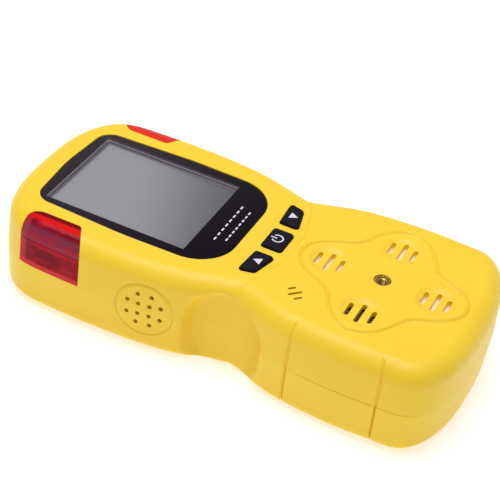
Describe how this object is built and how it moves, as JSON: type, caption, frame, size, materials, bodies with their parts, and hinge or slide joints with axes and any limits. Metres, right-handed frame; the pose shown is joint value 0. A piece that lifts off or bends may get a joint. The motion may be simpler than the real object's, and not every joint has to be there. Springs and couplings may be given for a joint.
{
  "type": "portable gas detector",
  "caption": "Handheld multi-gas detector: yellow two-part case with a lensed display, keys, side alarm lenses, sounder grille, gas sensors behind slots and a screwed battery door",
  "frame": {"origin": "middle of the flat back face, on which the instrument rests", "axes": "+Z out of the display face, +Y along the body towards the display end, +X to the user's right"},
  "size_m": [0.0748, 0.1574, 0.0326],
  "materials": {
    "yellow_shell": "fine moulded texture, semi-matte yellow",
    "black_lens": "polished black display lens",
    "display_grey": "unlit grey liquid crystal display",
    "key_rubber": "black silicone rubber",
    "alarm_red": "glossy tinted red lens",
    "grey_rubber": "dark grey sealing rubber",
    "white_plastic": "plain white moulding",
    "black_plastic": "plain black moulding",
    "board_green": "green solder mask",
    "steel": "plain steel",
    "brass": "turned brass",
    "filter_white": "porous dust filter",
    "steel_mesh": "woven steel flame arrestor",
    "battery_wrap": "shrink-wrapped battery pack",
    "label_silver": "blank silver label"
  },
  "bodies": {
    "case": {"alarm_led_left": "white_plastic", "alarm_led_right": "white_plastic", "alarm_lens_left": "alarm_red", "alarm_lens_right": "alarm_red", "battery_contacts": "black_plastic", "battery_door": "yellow_shell", "battery_pack": "battery_wrap", "board_connector": "black_plastic", "buzzer": "black_plastic", "buzzer_gasket": "grey_rubber", "calibration_insert": "brass", "carbon_monoxide_filter": "filter_white", "carbon_monoxide_gasket": "grey_rubber", "carbon_monoxide_sensor": "white_plastic", "case_screw_1": "steel", "case_screw_2": "steel", "case_screw_3": "steel", "case_screw_4": "steel", "case_screw_5": "steel", "case_screw_6": "steel", "case_seal": "grey_rubber", "charge_board": "board_green", "charge_socket": "steel", "combustible_filter": "steel_mesh", "combustible_gasket": "grey_rubber", "combustible_sensor": "white_plastic", "display_lens": "black_lens", "door_screw_1": "steel", "door_screw_2": "steel", "front_cover": "yellow_shell", "hydrogen_sulfide_filter": "filter_white", "hydrogen_sulfide_gasket": "grey_rubber", "hydrogen_sulfide_sensor": "white_plastic", "keypad_web": "key_rubber", "lcd_frame": "white_plastic", "lcd_panel": "display_grey", "lens_tape": "black_plastic", "main_board": "board_green", "oxygen_filter": "filter_white", "oxygen_gasket": "grey_rubber", "oxygen_sensor": "white_plastic", "rear_cover": "yellow_shell", "rear_label": "label_silver", "sensor_board": "board_green", "speaker_grille": "yellow_shell", "switch_left": "black_plastic", "switch_power": "black_plastic", "switch_right": "black_plastic", "vent_membrane": "filter_white", "vibration_motor": "steel"},
    "key_power": {"key_power": "key_rubber", "switch_plunger_power": "white_plastic"},
    "key_right": {"key_right": "key_rubber", "switch_plunger_right": "white_plastic"},
    "key_left": {"key_left": "key_rubber", "switch_plunger_left": "white_plastic"},
    "charge_port_cover": {"charge_port_cover": "grey_rubber"},
    "vibration_weight": {"vibration_weight": "brass"}
  },
  "joints": [
    {"name": "power_key", "type": "slide", "parent": "case", "child": "key_power", "axis": [0, 0, -1], "range_m": [0, 0.0006], "stiffness_N_per_m": 1500, "springref_m": -0.0002},
    {"name": "right_key", "type": "slide", "parent": "case", "child": "key_right", "axis": [0, 0, -1], "range_m": [0, 0.0006], "stiffness_N_per_m": 1500, "springref_m": -0.0002},
    {"name": "left_key", "type": "slide", "parent": "case", "child": "key_left", "axis": [0, 0, -1], "range_m": [0, 0.0006], "stiffness_N_per_m": 1500, "springref_m": -0.0002},
    {"name": "port_cover_hinge", "type": "hinge", "parent": "case", "child": "charge_port_cover", "pos_m": [0, 0.07815, 0.0053], "axis": [-1, 0, 0], "range_deg": [0, 110]},
    {"name": "weight_spin", "type": "hinge", "parent": "case", "child": "vibration_weight", "pos_m": [0.018, 0.03, 0.0062], "axis": [1, 0, 0], "continuous": true}
  ]
}
